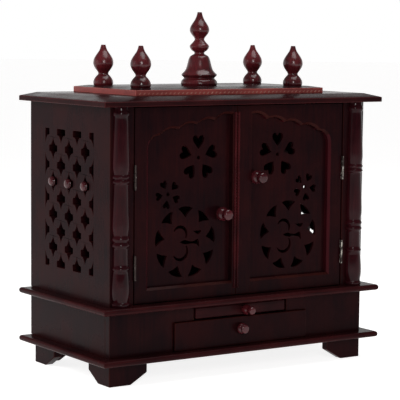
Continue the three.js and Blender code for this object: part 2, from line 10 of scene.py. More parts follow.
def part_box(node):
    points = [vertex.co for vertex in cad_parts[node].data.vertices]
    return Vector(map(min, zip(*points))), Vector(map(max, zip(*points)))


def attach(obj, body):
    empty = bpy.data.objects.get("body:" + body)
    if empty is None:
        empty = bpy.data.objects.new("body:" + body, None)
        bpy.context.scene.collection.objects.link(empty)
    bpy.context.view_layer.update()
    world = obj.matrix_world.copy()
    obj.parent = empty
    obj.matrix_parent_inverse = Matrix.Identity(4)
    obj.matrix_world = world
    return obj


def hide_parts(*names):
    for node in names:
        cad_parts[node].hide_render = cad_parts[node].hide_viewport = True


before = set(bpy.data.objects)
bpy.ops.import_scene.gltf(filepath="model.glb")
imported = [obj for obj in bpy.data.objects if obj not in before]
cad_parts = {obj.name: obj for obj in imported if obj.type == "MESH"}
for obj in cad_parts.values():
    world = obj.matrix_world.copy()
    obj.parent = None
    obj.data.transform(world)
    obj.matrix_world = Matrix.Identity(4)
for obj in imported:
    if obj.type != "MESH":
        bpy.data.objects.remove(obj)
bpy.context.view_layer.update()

# Shapes are drawn in millimetres and placed in metres, and angles are in degrees
MM = 0.001
SIGNS = {"left": -1, "right": 1}
ROWS = ("front", "back")

# An edge that turns more than this stays hard: on boards, on turned wood, and on rope and ticks
BOARD_CREASE, TURNED_CREASE, FINE_CREASE = 14, 40, 60

# Points closer than this are one point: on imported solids, on sawn outlines and on turned solids
SOLID_WELD, OUTLINE_WELD, TURNED_WELD = 0.005, 0.004, 0.002

# The shortest edge worth keeping, and more than any error of rounding
SHORTEST = 0.001
ROUNDING = 1e-6


# Places read from the frame, in metres
PANEL_LOW, PANEL_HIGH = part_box("side_panel_left")
SHRINE_Z, CORNICE_Z = PANEL_LOW.z, PANEL_HIGH.z
FRONT_Y, BACK_Y = PANEL_LOW.y, PANEL_HIGH.y
MIDDLE_Y = (FRONT_Y + BACK_Y) / 2


# Colour and node helpers

def linear(code):
    """An sRGB hex colour as linear red, green, blue and full alpha."""
    channels = [int(code[i:i + 2], 16) / 255 for i in (1, 3, 5)]
    return [c / 12.92 if c <= 0.04045 else ((c + 0.055) / 1.055) ** 2.4 for c in channels] + [1]


def add_node(tree, kind, settings=None, **inputs):
    """Adds a node and fills its inputs, by name or as i and a number, with values or outputs."""
    node = tree.nodes.new(kind)
    for name, value in (settings or {}).items():
        setattr(node, name, value)
    for name, value in inputs.items():
        key = int(name[1:]) if name[0] == "i" and name[1:].isdigit() else name.replace("_", " ")
        if isinstance(value, bpy.types.NodeSocket):
            tree.links.new(value, node.inputs[key])
        else:
            node.inputs[key].default_value = value
    return node


def ramp(tree, value, low, high, start=0.0, end=1.0):
    """Runs from start to end while the value runs from low to high."""
    return add_node(tree, "ShaderNodeMapRange", Value=value, From_Min=low, From_Max=high,
                    To_Min=start, To_Max=end).outputs[0]


def product(tree, first, second):
    """The first times the second."""
    return add_node(tree, "ShaderNodeMath", {"operation": "MULTIPLY"}, i0=first, i1=second).outputs[0]


def product_plus(tree, first, second, rest):
    """The first times the second, plus the rest."""
    return add_node(tree, "ShaderNodeMath", {"operation": "MULTIPLY_ADD"},
                    i0=first, i1=second, i2=rest).outputs[0]


def blend(tree, amount, first, second):
    """The first colour where the amount is 0, and the second where it is 1."""
    return add_node(tree, "ShaderNodeMix", {"data_type": "RGBA"},
                    i0=amount, i6=first, i7=second).outputs[2]


def new_material(name):
    """An empty material and its tree."""
    material = bpy.data.materials.new(name)
    material.use_nodes = True
    material.node_tree.nodes.clear()
    return material, material.node_tree


def object_place(tree):
    """The place on the object, in metres, that textures follow."""
    return add_node(tree, "ShaderNodeTexCoord").outputs["Object"]


def surface(tree, **inputs):
    """Ends a material with a Principled shader."""
    shader = add_node(tree, "ShaderNodeBsdfPrincipled", **inputs)
    add_node(tree, "ShaderNodeOutputMaterial", Surface=shader.outputs[0])


# Materials

# The grain: how far it is stretched along the wood, and its depth under the lacquer
GRAIN_STRETCH = 0.06
GRAIN_RELIEF = 0.2 * MM

# What the stain's depth follows, and how much the red of eased edges shows all along and in patches:
# partly wear, partly a painted highlight where edges catch light
STREAK_SHARE, CLOUD_SHARE = 0.45, 0.55
WEAR_AND_GLINT_ALL_ALONG, WEAR_AND_GLINT_IN_PATCHES = 0.35, 0.7


def lacquered_wood(name, deep, warm, wear_and_glint, grain_axis="Z", gloss=0.3, grain_mm=4.0, shine=0.2):
    """Stained mahogany under sprayed lacquer: streaks along the grain, and eased edges in a warm red,
    partly wear and partly a painted highlight where edges catch light.
    """
    material, tree = new_material(name)
    place = object_place(tree)
    scale = [(GRAIN_STRETCH if axis == grain_axis else 1) / (grain_mm * MM) for axis in "XYZ"]
    along = add_node(tree, "ShaderNodeMapping", Vector=place, Scale=scale).outputs[0]
    grain = add_node(tree, "ShaderNodeTexNoise", Vector=along, Scale=1.0, Detail=6.0,
                     Roughness=0.62).outputs[0]
    clouds = add_node(tree, "ShaderNodeTexNoise", Vector=place, Scale=14.0, Detail=3.0,
                      Roughness=0.5).outputs[0]
    streaks = product(tree, ramp(tree, grain, 0.35, 0.7), STREAK_SHARE)
    stain = product_plus(tree, ramp(tree, clouds, 0.35, 0.68), CLOUD_SHARE, streaks)
    # The eased edges' share of red: worn edges plus a painted highlight where edges catch light
    wear_and_glint_amount = add_node(tree, "ShaderNodeAttribute", {"attribute_name": "wear_and_glint"}).outputs["Fac"]
    patches = product(tree, product(tree, wear_and_glint_amount, stain), WEAR_AND_GLINT_IN_PATCHES)
    wear_and_glint_mix = product_plus(tree, wear_and_glint_amount, WEAR_AND_GLINT_ALL_ALONG, patches)
    colour = blend(tree, wear_and_glint_mix, blend(tree, stain, linear(deep), linear(warm)), linear(wear_and_glint))
    ripple = add_node(tree, "ShaderNodeBump", Strength=0.1, Distance=GRAIN_RELIEF, Height=grain)
    surface(tree, Base_Color=colour, Roughness=ramp(tree, clouds, 0.3, 0.7, gloss - 0.05, gloss + 0.07),
            Normal=ripple.outputs[0], IOR=1.5, Specular_IOR_Level=shine)
    return material


def plain_plywood():
    """Bare birch plywood for the hidden parts: pale brown, matt, with fine long grain."""
    material, tree = new_material("plain_plywood")
    along = add_node(tree, "ShaderNodeMapping", Vector=object_place(tree), Scale=(300, 18, 300)).outputs[0]
    grain = add_node(tree, "ShaderNodeTexNoise", Vector=along, Scale=1.0, Detail=5.0).outputs[0]
    ripple = add_node(tree, "ShaderNodeBump", Strength=0.2, Distance=GRAIN_RELIEF, Height=grain)
    surface(tree, Base_Color=blend(tree, grain, linear("#6e4a33"), linear("#a17750")), Roughness=0.62,
            Normal=ripple.outputs[0])
    return material


def steel_with_painted_glints(name, glint_cutoff):
    """Zinc-plated steel, mostly dark, with bright patches painted into its colour as glints: a higher
    cutoff leaves fewer painted glints.
    """
    material, tree = new_material(name)
    glint_noise = add_node(tree, "ShaderNodeTexNoise", Vector=object_place(tree), Scale=110.0,
                     Detail=3.0).outputs[0]
    # clear marks the bright patches, which are painted glints
    clear = ramp(tree, glint_noise, glint_cutoff, glint_cutoff + 0.14)
    surface(tree, Base_Color=blend(tree, clear, linear("#38302e"), linear("#a8a29a")),
            Roughness=ramp(tree, clear, 0, 1, 0.4, 0.2), Metallic=1.0)
    return material


# Each finish has its colour in the deep grain, where the stain is thin, and at eased edges, where wear and
# a painted highlight show
BOARDS = lacquered_wood("mahogany_lacquer_boards", "#110508", "#250a0b", "#2e100d",
                        gloss=0.26, shine=0.03)
LEDGES = lacquered_wood("mahogany_lacquer_ledges", "#15080a", "#2b0d0e", "#3c1517",
                        grain_axis="X", gloss=0.24, shine=0.03)
# The recess's upright walls: a lighter red, painted light standing in for the light falling on them
PAINTED_LIGHT_REVEALS = lacquered_wood("mahogany_lacquer_painted_light_reveals", "#22080c", "#390d13", "#390d13",
                         gloss=0.3, shine=0.04)
TRAY = lacquered_wood("mahogany_lacquer_tray", "#190a0c", "#301214", "#3c1517",
                      grain_axis="X", gloss=0.24, shine=0.03)
RED_EDGE = lacquered_wood("mahogany_lacquer_red_edge", "#642826", "#8e3d38", "#9a544e",
                          grain_axis="X", gloss=0.3)
CUT_THROUGH = lacquered_wood("mahogany_lacquer_cut_through", "#7d4a42", "#ad7c70", "#ad7c70",
                             gloss=0.4)
FINIALS = lacquered_wood("maroon_lacquer_turned", "#1c080b", "#5c1b20", "#5a1c20",
                         gloss=0.2, grain_mm=3.0, shine=0.35)
COLUMNS = lacquered_wood("maroon_lacquer_columns", "#130508", "#2e0a0f", "#4f181c",
                         gloss=0.08, grain_mm=3.0, shine=0.12)
KNOBS = lacquered_wood("rose_lacquer_knobs", "#1d080c", "#4c171c", "#5a2328",
                       gloss=0.1, grain_mm=2.0, shine=0.32)
ROPE = lacquered_wood("rose_lacquer_rope", "#190609", "#451316", "#451316",
                      gloss=0.3, grain_mm=3.0, shine=0.04)
PLYWOOD = plain_plywood()
# The left hinges look darker and get fewer painted glints
STEEL = {"left": steel_with_painted_glints("steel_with_fewer_painted_glints", 0.62),
         "right": steel_with_painted_glints("steel_with_painted_glints", 0.46)}


# Mesh helpers

def finish_piece(name, bm, material, body, nodes, crease=BOARD_CREASE):
    """Makes the object, smooths what curves, and gives its body and the nodes it replaces."""
    mesh = bpy.data.meshes.new(name)
    bm.to_mesh(mesh)
    bm.free()
    piece = bpy.data.objects.new(name, mesh)
    bpy.context.scene.collection.objects.link(piece)
    mesh.polygons.foreach_set("use_smooth", [True] * len(mesh.polygons))
    mesh.set_sharp_from_angle(angle=math.radians(crease))
    mesh.materials.append(material)
    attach(piece, body)
    if nodes:
        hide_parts(*nodes)
    return piece


# Neighbouring triangles that turn less than this belong to one face
FACET_TURN = 0.3


def node_solid(node):
    """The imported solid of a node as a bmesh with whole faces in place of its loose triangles."""
    bm = bmesh.new()
    bm.from_mesh(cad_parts[node].data)
    bmesh.ops.remove_doubles(bm, verts=bm.verts, dist=SOLID_WELD * MM)
    bmesh.ops.dissolve_limit(bm, angle_limit=math.radians(FACET_TURN), verts=bm.verts, edges=bm.edges)
    return bm


def ease_edges(bm, edges, width, segments=3, wear_and_glint_amount=1.0):
    """Rounds edges and marks how much the new narrow faces show wear and a painted highlight."""
    wear_and_glint = bm.faces.layers.float.get("wear_and_glint") or bm.faces.layers.float.new("wear_and_glint")
    made = bmesh.ops.bevel(bm, geom=edges, offset=width * MM, offset_type="OFFSET", segments=segments,
                           profile=0.5, affect="EDGES", clamp_overlap=True, material=-1)
    for face in made["faces"]:
        face[wear_and_glint] = wear_and_glint_amount


def sharp_edges(bm, least=25):
    """The edges where two faces turn by more than so many degrees."""
    return [e for e in bm.edges if len(e.link_faces) == 2
            and e.calc_face_angle(0) > math.radians(least)]


def eased_board(node, material, body="carcass", width=1.2, segments=3):
    """A flat board with its arrises taken off."""
    bm = node_solid(node)
    ease_edges(bm, sharp_edges(bm), width, segments)
    return finish_piece(node + "_board", bm, material, body, [node])


def smooth_run(points, steps):
    """A smooth line through a few points, ends included."""
    if len(points) < 3:
        return list(points)
    padded = [points[0], *points, points[-1]]
    line = [points[0]]
    for corners in zip(padded, padded[1:], padded[2:], padded[3:]):
        for i in range(1, steps + 1):
            t = i / steps
            line.append(tuple(0.5 * (2 * b + (c - a) * t + (2 * a - 5 * b + 4 * c - d) * t * t
                                     + (3 * b - a - 3 * c + d) * t ** 3)
                              for a, b, c, d in zip(*corners)))
    return line


def profile_line(runs, steps):
    """Joins smooth runs of radius and height at their sharp corners."""
    line = []
    for run in runs:
        smooth = smooth_run(run, steps)
        line += smooth[1:] if line else smooth
    return line


def turned_solid(runs, steps=4, turns=48):
    """A turned solid on the Z axis, closed on the axis at both ends."""
    bm = bmesh.new()
    line = [bm.verts.new((max(r, 0) * MM, 0, h * MM)) for r, h in profile_line(runs, steps)]
    edges = [bm.edges.new(pair) for pair in zip(line, line[1:])]
    bmesh.ops.spin(bm, geom=line + edges, cent=(0, 0, 0), axis=(0, 0, 1), angle=math.tau,
                   steps=turns, use_merge=True)
    bmesh.ops.remove_doubles(bm, verts=bm.verts, dist=TURNED_WELD * MM)
    bmesh.ops.dissolve_degenerate(bm, edges=bm.edges, dist=SHORTEST * MM)
    bmesh.ops.recalc_face_normals(bm, faces=bm.faces)
    return bm


# Feet, ledges, base and roof boards

for row in ROWS:
    for side in SIGNS:
        eased_board(f"foot_{row}_{side}", BOARDS, width=1.4)


def nosed_ledge(node, nose=4.8):
    """A ledge with a half-round nose all round."""
    low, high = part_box(node)
    bm = bmesh.new()
    bmesh.ops.create_cube(bm, size=1)
    bmesh.ops.scale(bm, vec=high - low, verts=bm.verts)
    bmesh.ops.translate(bm, vec=(low + high) / 2, verts=bm.verts)
    level = [e for e in bm.edges if abs(e.verts[0].co.z - e.verts[1].co.z) < ROUNDING]
    ease_edges(bm, level, nose, segments=7, wear_and_glint_amount=0.4)
    finish_piece(node + "_board", bm, LEDGES, "carcass", [node])


nosed_ledge("lower_ledge")
nosed_ledge("upper_ledge")
for node in ("base_side_left", "base_side_right", "base_back", "base_front", "back_panel"):
    eased_board(node, BOARDS, width=0.8)
eased_board("cornice", LEDGES, width=1.3)


# The roof board's gouged ticks: spacing, half sizes, lean, and height above the board's underside
TICK = {"pitch": 9, "half": (1.3, 0.35, 3.2), "lean": 48, "height": 3.6}

# The red stain starts this far below the board's top, on faces less level than this
RED_BELOW_TOP = 3
LEVEL_FACE = 0.8


def raised_board():
    """The roof board: dark above, with its sawn edge stained red and ticks along the front."""
    piece = eased_board("raised_board", BOARDS, width=0.8)
    piece.data.materials.append(RED_EDGE)
    low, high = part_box("raised_board")
    for face in piece.data.polygons:
        if abs(face.normal.z) < LEVEL_FACE and face.center.z < high.z - RED_BELOW_TOP * MM:
            face.material_index = 1
    lean = Matrix.Rotation(math.radians(TICK["lean"]), 3, "Y")
    count = round((high.x - low.x) / (TICK["pitch"] * MM)) - 1
    bm = bmesh.new()
    for i in range(count):
        made = bmesh.ops.create_icosphere(bm, subdivisions=1, radius=1)["verts"]
        bmesh.ops.scale(bm, vec=[half * MM for half in TICK["half"]], verts=made)
        bmesh.ops.rotate(bm, cent=(0, 0, 0), matrix=lean, verts=made)
        x = low.x + (high.x - low.x) * (i + 1) / (count + 1)
        bmesh.ops.translate(bm, vec=(x, low.y, low.z + TICK["height"] * MM), verts=made)
    finish_piece("raised_board_ticks", bm, CUT_THROUGH, "carcass", [],
                 crease=FINE_CREASE)


raised_board()
for side in SIGNS:
    eased_board(f"front_stile_{side}", BOARDS, width=0.8)


# Pierced boards

# A rim turns at least this far, beside a face that looks out of the board at least this squarely
RIM_TURN = 60
FACE_ON = 0.9


def pierced_board(name, outer, holes, thickness, place, ease=0.5):
    """A flat board with openings: outlines laid in a plane, given a thickness, and put in place."""
    curve = bpy.data.curves.new(name, "CURVE")
    curve.dimensions = "2D"
    curve.fill_mode = "BOTH"
    curve.extrude = thickness / 2 * MM
    for points in [outer, *holes]:
        spline = curve.splines.new("POLY")
        spline.points.add(len(points) - 1)
        for target, (a, b) in zip(spline.points, points):
            target.co = (a * MM, b * MM, 0, 1)
        spline.use_cyclic_u = True
    sketch = bpy.data.objects.new(name, curve)
    bpy.context.scene.collection.objects.link(sketch)
    bpy.context.view_layer.update()
    flat = bpy.data.meshes.new_from_object(sketch.evaluated_get(bpy.context.evaluated_depsgraph_get()))
    bpy.data.objects.remove(sketch)
    bm = bmesh.new()
    bm.from_mesh(flat)
    bpy.data.meshes.remove(flat)
    bmesh.ops.remove_doubles(bm, verts=bm.verts, dist=OUTLINE_WELD * MM)
    bmesh.ops.transform(bm, matrix=place, verts=bm.verts)
    bmesh.ops.recalc_face_normals(bm, faces=bm.faces)
    outward = place.col[2].xyz
    rims = [e for e in sharp_edges(bm, RIM_TURN)
            if max(abs(f.normal @ outward) for f in e.link_faces) > FACE_ON]
    ease_edges(bm, rims, ease, segments=2)
    return bm


def circle(cx, cy, radius, count=20):
    """A circle as a closed outline."""
    return [(cx + radius * math.cos(math.tau * i / count), cy + radius * math.sin(math.tau * i / count))
            for i in range(count)]


def turned_to(points, cx, cy, degrees):
    """An outline turned about its own origin and moved to a place."""
    c, s = math.cos(math.radians(degrees)), math.sin(math.radians(degrees))
    return [(cx + a * c - b * s, cy + a * s + b * c) for a, b in points]


# Side lattice: a blunt bar across with a long thin point above and below, in staggered rows

LATTICE_PITCH = (59, 30.25)
LATTICE_LOW = 196.5
LATTICE_ROWS = 8
LATTICE_COLUMNS = 4
BAR_HALF = 6
CROSS_QUARTER = ((0, 19.5), (1.5, 15.5), (3.9, 11.5), (6.6, 8.2), (8.6, 6.3), (13.4, 6), (15, 4.4))


def cross_outline():
    """The whole opening from its upper right quarter."""
    right = [*CROSS_QUARTER, *((a, -b) for a, b in reversed(CROSS_QUARTER))]
    return [*right[:-1], *((-a, b) for a, b in reversed(right))][:-1]


def clipped(points, axis, limit, keep):
    """The part of an outline on one side of a line."""
    result = []
    for p, q in zip(points, [*points[1:], points[0]]):
        dp, dq = (p[axis] - limit) * keep, (q[axis] - limit) * keep
        if dp > -ROUNDING:
            result.append(p)
        if min(dp, dq) < -ROUNDING and max(dp, dq) > ROUNDING:
            t = dp / (dp - dq)
            result.append(tuple(a + t * (b - a) for a, b in zip(p, q)))
    return result


def lattice_openings():
    """Full rows and rows with one opening less in turn, cut off square at the field's edges."""
    across, up = LATTICE_PITCH
    openings = []
    for row in range(LATTICE_ROWS + 1):
        count = LATTICE_COLUMNS - row % 2
        for column in range(count):
            cy = MIDDLE_Y / MM + (column - (count - 1) / 2) * across
            cz = LATTICE_LOW + row * up
            points = [(cy + a, cz + b) for a, b in cross_outline()]
            if count == LATTICE_COLUMNS and column in (0, count - 1):
                points = clipped(points, 0, cy, 1 if column == 0 else -1)
            if row in (0, LATTICE_ROWS):
                keep = 1 if row == 0 else -1
                points = clipped(points, 1, cz - keep * BAR_HALF, keep)
            openings.append(points)
    return openings


STUD_RUNS = [[(0, 0), (8.2, 0)], [(8.2, 0), (9, 1.2), (8.4, 2.6)],
             [(8.4, 2.6), (8.6, 4), (6.4, 6.9), (2.5, 7.9), (0, 8)]]


def stud(node, sign):
    """A turned button with a small collar, pointing out of its side."""
    low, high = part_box(node)
    bm = turned_solid(STUD_RUNS, steps=3, turns=32)
    seat = Vector((low.x if sign > 0 else high.x, (low.y + high.y) / 2, (low.z + high.z) / 2))
    lay = Matrix.Translation(seat) @ Matrix.Rotation(sign * math.pi / 2, 4, "Y")
    bmesh.ops.transform(bm, matrix=lay, verts=bm.verts)
    finish_piece(node + "_turning", bm, KNOBS, "carcass", [node], crease=TURNED_CREASE)


# A drawing's across, up and thickness, laid into the plane of a side and of the doors
ONTO_SIDE = Matrix(((0, 0, 1, 0), (1, 0, 0, 0), (0, 1, 0, 0), (0, 0, 0, 1)))
ONTO_FRONT = Matrix(((1, 0, 0, 0), (0, 0, -1, 0), (0, 1, 0, 0), (0, 0, 0, 1)))


def side_lattice(side, sign):
    """A pierced side with its three studs."""
    node = f"side_panel_{side}"
    low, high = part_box(node)
    outer = [(FRONT_Y / MM, SHRINE_Z / MM), (BACK_Y / MM, SHRINE_Z / MM),
             (BACK_Y / MM, CORNICE_Z / MM), (FRONT_Y / MM, CORNICE_Z / MM)]
    place = Matrix.Translation(((low.x + high.x) / 2, 0, 0)) @ ONTO_SIDE
    bm = pierced_board(node, outer, lattice_openings(), (high.x - low.x) / MM, place)
    finish_piece(node + "_lattice", bm, BOARDS, "carcass", [node])
    for number in (1, 2, 3):
        stud(f"side_stud_{side}_{number}", sign)


for side, sign in SIGNS.items():
    side_lattice(side, sign)


# Doors: ornament measured from the middle of the pair; reach is from a ring's centre to its members

FLOWER = {"x": 88, "z": 397.5, "reach": 28, "petal": 12.5, "eye": 3.4, "turn": 90}
BLOSSOM = {"x": 152.5, "z": 334, "reach": 18.5, "petal": 7.5, "eye": 3.4, "turn": 63}
PETALS = 5
RING = {"x": 115, "z": 246, "reach": 54, "teeth": 9, "width": 31, "height": 17, "turn": 90}

# Right halves of a heart of size 1, and of a tooth in halves of its width and height
HEART = ((0, -1), (0.42, -0.52), (0.82, 0.0), (0.98, 0.42), (0.86, 0.82), (0.55, 0.98), (0.22, 0.86),
         (0, 0.55))
TOOTH = ((0, 1.25), (0.55, 1.15), (1, 0.8), (0.42, -0.1), (0, -1.1))


def mirrored(half):
    """A closed outline from the half of it that starts and ends on its middle line."""
    return [*half, *((-a, b) for a, b in half[-2:0:-1])]


def ring_of(outline, centre, count):
    """Copies of an outline round a centre, each with its top outward."""
    copies = []
    for i in range(count):
        angle = centre["turn"] + 360 / count * i
        cx = centre["x"] + centre["reach"] * math.cos(math.radians(angle))
        cz = centre["z"] + centre["reach"] * math.sin(math.radians(angle))
        copies.append(turned_to(outline, cx, cz, angle - 90))
    return copies


def petals(flower):
    """Five hearts round a small hole."""
    heart = mirrored(smooth_run([(a * flower["petal"], b * flower["petal"]) for a, b in HEART], 3))
    return [circle(flower["x"], flower["z"], flower["eye"]), *ring_of(heart, flower, PETALS)]


def ring_teeth():
    """The toothed ring round the sign."""
    tooth = mirrored([(a * RING["width"] / 2, b * RING["height"] / 2) for a, b in TOOTH])
    return ring_of(tooth, RING, RING["teeth"])


# The sign's parts, from the ring's centre
BOWS = ({"x": -11.5, "z": 14, "radius": 14, "start": 152, "end": -28},
        {"x": -11, "z": -16, "radius": 15.5, "start": 36, "end": -152})
TAIL = ((-12, 0.5), (-5, 3.2), (0.5, 3.6), (5, 2.2), (10, 0.8), (16, 0.4), (21, 1.8), (26, 4.5),
        (28, 3.6), (29.5, 0), (30.2, -6), (30, -11.5), (27.6, -8), (24, -4.8), (17, -3.4), (9, -3.6),
        (2.5, -4.6), (-6, -2.4))
MARK = ((16, 21), (19, 19.4), (22, 19), (25, 20.4), (27.5, 18.6), (30, 20), (33, 20.6), (34.5, 18),
        (32, 14.5), (28, 12.3), (24.5, 13.8), (21, 16.4), (18, 18.4))
STROKE = 6
STROKE_END_SHARE = 0.35
STROKE_STEPS = 16


def bow_stroke(bow):
    """A brush stroke along an arc, swelling in the middle."""
    def edge(side_of_arc):
        points = []
        for i in range(STROKE_STEPS + 1):
            t = i / STROKE_STEPS
            angle = math.radians(bow["start"] + (bow["end"] - bow["start"]) * t)
            half = STROKE / 2 * (STROKE_END_SHARE + (1 - STROKE_END_SHARE) * math.sin(math.pi * t))
            reach = bow["radius"] + side_of_arc * half
            points.append((bow["x"] + reach * math.cos(angle), bow["z"] + reach * math.sin(angle)))
        return points
    return edge(1) + edge(-1)[::-1]


def sacred_sign(cx, cz):
    """The traditional sign in the ring: two bows, a fish-tailed stroke, and a small mark above."""
    parts = [*(bow_stroke(bow) for bow in BOWS), TAIL, MARK]
    return [[(cx + a, cz + b) for a, b in part] for part in parts]


# A door's recess: its straight edges, its bevel, and its cusped head from the meeting edge outward
RECESS_INNER, RECESS_OUTER, RECESS_Z = 20.5, 200.0, 170.0
RECESS_BEVEL = 4.2
ARCH = {"inner_z": 474, "cusp_x": 58, "step": 39, "cusps": 4, "cusp_z": 464, "fall": 5.5,
        "growth": 0.75, "outer_z": 412, "rise": 6, "last_rise": 9}
ARCH_ROOM = 12
EDGE_ROOM = 1


def arch_points(inner_x, outer_x, steps=9):
    """The cusped head of a door's recess: each lobe is a shallow parabola over its chord."""
    knots = [(inner_x, ARCH["inner_z"])]
    for i in range(ARCH["cusps"]):
        z = ARCH["cusp_z"] - ARCH["fall"] * i - ARCH["growth"] * i * i
        knots.append((ARCH["cusp_x"] + ARCH["step"] * i, z))
    knots.append((outer_x, ARCH["outer_z"]))
    points = [knots[0]]
    for a, b in zip(knots, knots[1:]):
        rise = ARCH["last_rise"] if b == knots[-1] else ARCH["rise"]
        length = math.dist(a, b)
        normal = (-(b[1] - a[1]) / length, (b[0] - a[0]) / length)
        for i in range(1, steps + 1):
            t = i / steps
            lift = 4 * rise * t * (1 - t)
            points.append(tuple(a[k] + t * (b[k] - a[k]) + lift * normal[k] for k in (0, 1)))
    return points


# The recess's upright edge faces: how far they turn sideways, and the middle share of the height. These
# walls take a lighter red, painted for the light that falls on them
REVEAL_TURN = 0.6
REVEAL_SHARE = 0.9


def door_frame(side, sign):
    """The board round a door's recess, with a bevel on every edge of the recess but the inner one."""
    node = f"door_{side}_frame"
    low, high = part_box(node)
    outer = max(abs(low.x), abs(high.x)) / MM
    foot, head = low.z / MM, high.z / MM
    path = [(RECESS_INNER, foot), (outer, foot), (outer, head), (RECESS_INNER, head),
            *arch_points(RECESS_INNER, RECESS_OUTER), (RECESS_OUTER, RECESS_Z), (RECESS_INNER, RECESS_Z)]
    bm = bmesh.new()
    verts = [bm.verts.new((sign * x * MM, low.y, z * MM)) for x, z in path]
    face = bm.faces.new(verts if sign > 0 else verts[::-1])
    grown = bmesh.ops.extrude_face_region(bm, geom=[face])
    moved = [v for v in grown["geom"] if isinstance(v, bmesh.types.BMVert)]
    bmesh.ops.translate(bm, vec=(0, high.y - low.y, 0), verts=moved)
    bmesh.ops.recalc_face_normals(bm, faces=bm.faces)

    def round_recess(vert):
        x, z = abs(vert.co.x) / MM, vert.co.z / MM
        return (abs(vert.co.y - low.y) < ROUNDING and x < RECESS_OUTER + EDGE_ROOM
                and RECESS_Z - EDGE_ROOM < z < ARCH["inner_z"] + ARCH_ROOM)

    def on_inner_edge(vert):
        return abs(abs(vert.co.x) / MM - RECESS_INNER) < OUTLINE_WELD

    ease_edges(bm, [e for e in bm.edges if all(round_recess(v) for v in e.verts)
                    and not all(on_inner_edge(v) for v in e.verts)], RECESS_BEVEL, segments=1)
    piece = finish_piece(node + "_moulding", bm, BOARDS, f"door_{side}", [node])
    # The upright walls of the recess take the lighter red of painted light
    piece.data.materials.append(PAINTED_LIGHT_REVEALS)
    middle = (low.z + high.z) / 2
    reach = (high.z - low.z) / 2 * REVEAL_SHARE
    for face in piece.data.polygons:
        inside = abs(face.center.x) < (outer - EDGE_ROOM) * MM and abs(face.center.z - middle) < reach
        if inside and abs(face.normal.x) > REVEAL_TURN:
            face.material_index = 1


def door_panel(side, sign):
    """The pierced panel behind a door's recess."""
    node = f"door_{side}_panel"
    low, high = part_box(node)
    outer = [(low.x / MM, low.z / MM), (high.x / MM, low.z / MM), (high.x / MM, high.z / MM),
             (low.x / MM, high.z / MM)]
    ornament = [*petals(FLOWER), *petals(BLOSSOM), *ring_teeth()]
    holes = [[(sign * a, b) for a, b in hole] for hole in ornament]
    holes += sacred_sign(sign * RING["x"], RING["z"])
    place = Matrix.Translation((0, (low.y + high.y) / 2, 0)) @ ONTO_FRONT
    bm = pierced_board(node, outer, holes, (high.y - low.y) / MM, place, ease=0.4)
    finish_piece(node + "_fretwork", bm, BOARDS, f"door_{side}", [node])


# The rope bead: length of one twist, strands, spacing and corners of its rings, depth of the grooves
TWIST = {"pitch": 5.2, "strands": 2, "spacing": 0.9, "corners": 14, "groove": 0.14}


def rope_bead(side, sign):
    """A half-round bead carved as a rope."""
    node = f"door_{side}_bead"
    low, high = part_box(node)
    half = (high.x - low.x) / 2
    rise = high.y - low.y
    rings = round((high.z - low.z) / (TWIST["spacing"] * MM))
    step = (high.z - low.z) / rings
    bm = bmesh.new()
    bmesh.ops.create_circle(bm, cap_ends=True, radius=1, segments=TWIST["corners"])
    top = list(bm.faces)
    for ring in range(rings):
        grown = bmesh.ops.extrude_face_region(bm, geom=top)
        if ring:
            bmesh.ops.delete(bm, geom=top, context="FACES_ONLY")
        top = [f for f in grown["geom"] if isinstance(f, bmesh.types.BMFace)]
        moved = [v for v in grown["geom"] if isinstance(v, bmesh.types.BMVert)]
        bmesh.ops.translate(bm, vec=(0, 0, 1), verts=moved)
    for vert in bm.verts:
        angle = math.atan2(-vert.co.y, vert.co.x)
        z = vert.co.z * step
        twist = math.cos(TWIST["strands"] * angle + sign * math.tau * z / (TWIST["pitch"] * MM))
        swell = 1 - TWIST["groove"] * (1 - twist)
        x = half * math.cos(angle) * swell
        y = high.y - max(0.0, math.sin(angle)) * rise * swell
        vert.co = Vector(((low.x + high.x) / 2 + x, y, low.z + z))
    bmesh.ops.remove_doubles(bm, verts=bm.verts, dist=SOLID_WELD * MM)
    bmesh.ops.recalc_face_normals(bm, faces=bm.faces)
    finish_piece(node + "_rope", bm, ROPE, f"door_{side}", [node], crease=FINE_CREASE)


KNOB_RUNS = [[(0, 0), (8.6, 0)], [(8.6, 0), (9.2, 1.2), (8.9, 2.6)],
             [(8.9, 2.6), (12.2, 6.5), (13, 11), (11.6, 16), (8.2, 20.5), (7.5, 23)],
             [(7.5, 23), (9.6, 24.6), (10.1, 28), (9.6, 31.5), (7.6, 33.6)],
             [(7.6, 33.6), (3, 34), (0, 34)]]
KNOB_RADIUS, KNOB_LENGTH = 13, 34


def knob(node, body):
    """A turned knob pointing forward, stretched to the size of its node."""
    low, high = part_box(node)
    wide = (high.z - low.z) / 2 / (KNOB_RADIUS * MM)
    long = (high.y - low.y) / (KNOB_LENGTH * MM)
    bm = turned_solid([[(r * wide, h * long) for r, h in run] for run in KNOB_RUNS], turns=40)
    seat = Vector(((low.x + high.x) / 2, high.y, (low.z + high.z) / 2))
    lay = Matrix.Translation(seat) @ Matrix.Rotation(math.pi / 2, 4, "X")
    bmesh.ops.transform(bm, matrix=lay, verts=bm.verts)
    finish_piece(node + "_turning", bm, KNOBS, body, [node], crease=TURNED_CREASE)


def eased_hinges(side):
    """Both leaves of a door's two butt hinges."""
    for number in (1, 2):
        for leaf, body in (("fixed_leaf", "carcass"), ("door_leaf", f"door_{side}")):
            eased_board(f"hinge_{side}_{number}_{leaf}", STEEL[side], body,
                        width=0.15, segments=1)


for side, sign in SIGNS.items():
    door_frame(side, sign)
    door_panel(side, sign)
    rope_bead(side, sign)
    eased_board(f"door_{side}_meeting_stile", BOARDS, f"door_{side}", width=0.7)
    knob(f"door_{side}_knob", f"door_{side}")
    eased_hinges(side)


